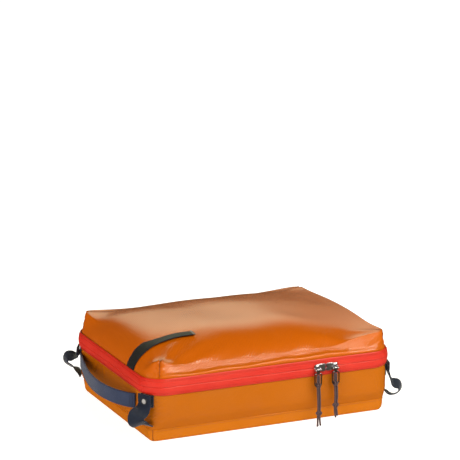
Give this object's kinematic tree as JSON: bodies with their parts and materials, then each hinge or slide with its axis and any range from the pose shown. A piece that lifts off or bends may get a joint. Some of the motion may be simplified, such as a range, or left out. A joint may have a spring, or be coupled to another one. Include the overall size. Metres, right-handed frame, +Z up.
{
  "type": "packing cube",
  "caption": "Soft zip-round packing cube lying flat and filled, with a hinged lid, twin cord pulls, an end handle and snap loops",
  "frame": {"origin": "centre of the flat base, on the floor", "axes": "+X runs along the zip band's long side away from the handle end, -Y is the front with the zip pulls, +Z is up through the lid"},
  "size_m": [0.4091, 0.2993, 0.1327],
  "materials": {
    "coated_cloth": "gloss-coated ripstop cloth",
    "binding_tape": "woven tape",
    "zip_tape": "coated zip tape, satin",
    "zip_coil": "moulded coil",
    "webbing": "ribbed flat webbing",
    "snap": "glossy dark snap",
    "label": "woven satin label, blank",
    "slider_metal": "bright plated metal",
    "pull_wire": "plated wire",
    "pull_cord": "braided cord"
  },
  "bodies": {
    "base": {"bottom_tray": "coated_cloth", "side_wall": "coated_cloth", "wall_binding": "binding_tape", "zip_tape_lower": "zip_tape", "zip_coil_lower": "zip_coil", "hinge_strip_lower": "zip_tape", "handle_end_near": "webbing", "handle_end_far": "webbing", "lash_tab_front_left": "webbing", "lash_tab_back_left": "webbing", "lash_tab_front_right": "webbing", "lash_tab_back_right": "webbing", "snap_stud_front_left": "snap", "snap_stud_back_left": "snap", "snap_stud_front_right": "snap", "snap_stud_back_right": "snap"},
    "lid": {"lid_panel": "coated_cloth", "lid_binding": "binding_tape", "zip_tape_upper": "zip_tape", "zip_coil_upper": "zip_coil", "hinge_strip_upper": "zip_tape", "label_strip": "label"},
    "handle": {"handle_strap": "webbing"},
    "slider_left": {"slider_left": "slider_metal"},
    "slider_right": {"slider_right": "slider_metal"},
    "pull_left": {"pull_frame_left": "pull_wire", "cord_hitch_left": "pull_cord", "cord_knot_left": "pull_cord", "cord_left_a": "pull_cord", "cord_left_b": "pull_cord"},
    "pull_right": {"pull_frame_right": "pull_wire", "cord_hitch_right": "pull_cord", "cord_knot_right": "pull_cord", "cord_right_a": "pull_cord", "cord_right_b": "pull_cord"},
    "loop_front_left": {"lash_loop_front_left": "webbing", "snap_cap_front_left": "snap"},
    "loop_back_left": {"lash_loop_back_left": "webbing", "snap_cap_back_left": "snap"},
    "loop_front_right": {"lash_loop_front_right": "webbing", "snap_cap_front_right": "snap"},
    "loop_back_right": {"lash_loop_back_right": "webbing", "snap_cap_back_right": "snap"}
  },
  "joints": [
    {"name": "lid_hinge", "type": "hinge", "parent": "base", "child": "lid", "pos_m": [0, 0.1406, 0.0772], "axis": [-1, 0, 0], "range_deg": [0, 180]},
    {"name": "handle_swing", "type": "hinge", "parent": "base", "child": "handle", "pos_m": [-0.1805, 0, 0.05], "axis": [0, 1, 0], "range_deg": [-30, 30]},
    {"name": "slider_left_run", "type": "slide", "parent": "base", "child": "slider_left", "axis": [1, 0, 0], "range_m": [-0.205, 0]},
    {"name": "slider_right_run", "type": "slide", "parent": "base", "child": "slider_right", "axis": [1, 0, 0], "range_m": [0, 0.055]},
    {"name": "pull_left_swing", "type": "hinge", "parent": "slider_left", "child": "pull_left", "pos_m": [0.0629, -0.1444, 0.075], "axis": [-1, 0, 0], "range_deg": [0, 150]},
    {"name": "pull_right_swing", "type": "hinge", "parent": "slider_right", "child": "pull_right", "pos_m": [0.0886, -0.1444, 0.075], "axis": [-1, 0, 0], "range_deg": [0, 150]},
    {"name": "loop_front_left_swing", "type": "hinge", "parent": "base", "child": "loop_front_left", "pos_m": [-0.17634, -0.12207, 0.024], "axis": [0.4695, -0.8829, 0], "range_deg": [0, 60]},
    {"name": "loop_back_left_swing", "type": "hinge", "parent": "base", "child": "loop_back_left", "pos_m": [-0.17634, 0.12207, 0.024], "axis": [-0.4695, -0.8829, 0], "range_deg": [0, 60]},
    {"name": "loop_front_right_swing", "type": "hinge", "parent": "base", "child": "loop_front_right", "pos_m": [0.17886, -0.11585, 0.024], "axis": [0.2756, 0.9613, 0], "range_deg": [0, 60]},
    {"name": "loop_back_right_swing", "type": "hinge", "parent": "base", "child": "loop_back_right", "pos_m": [0.17816, 0.11798, 0.024], "axis": [-0.342, 0.9397, 0], "range_deg": [0, 60]}
  ]
}
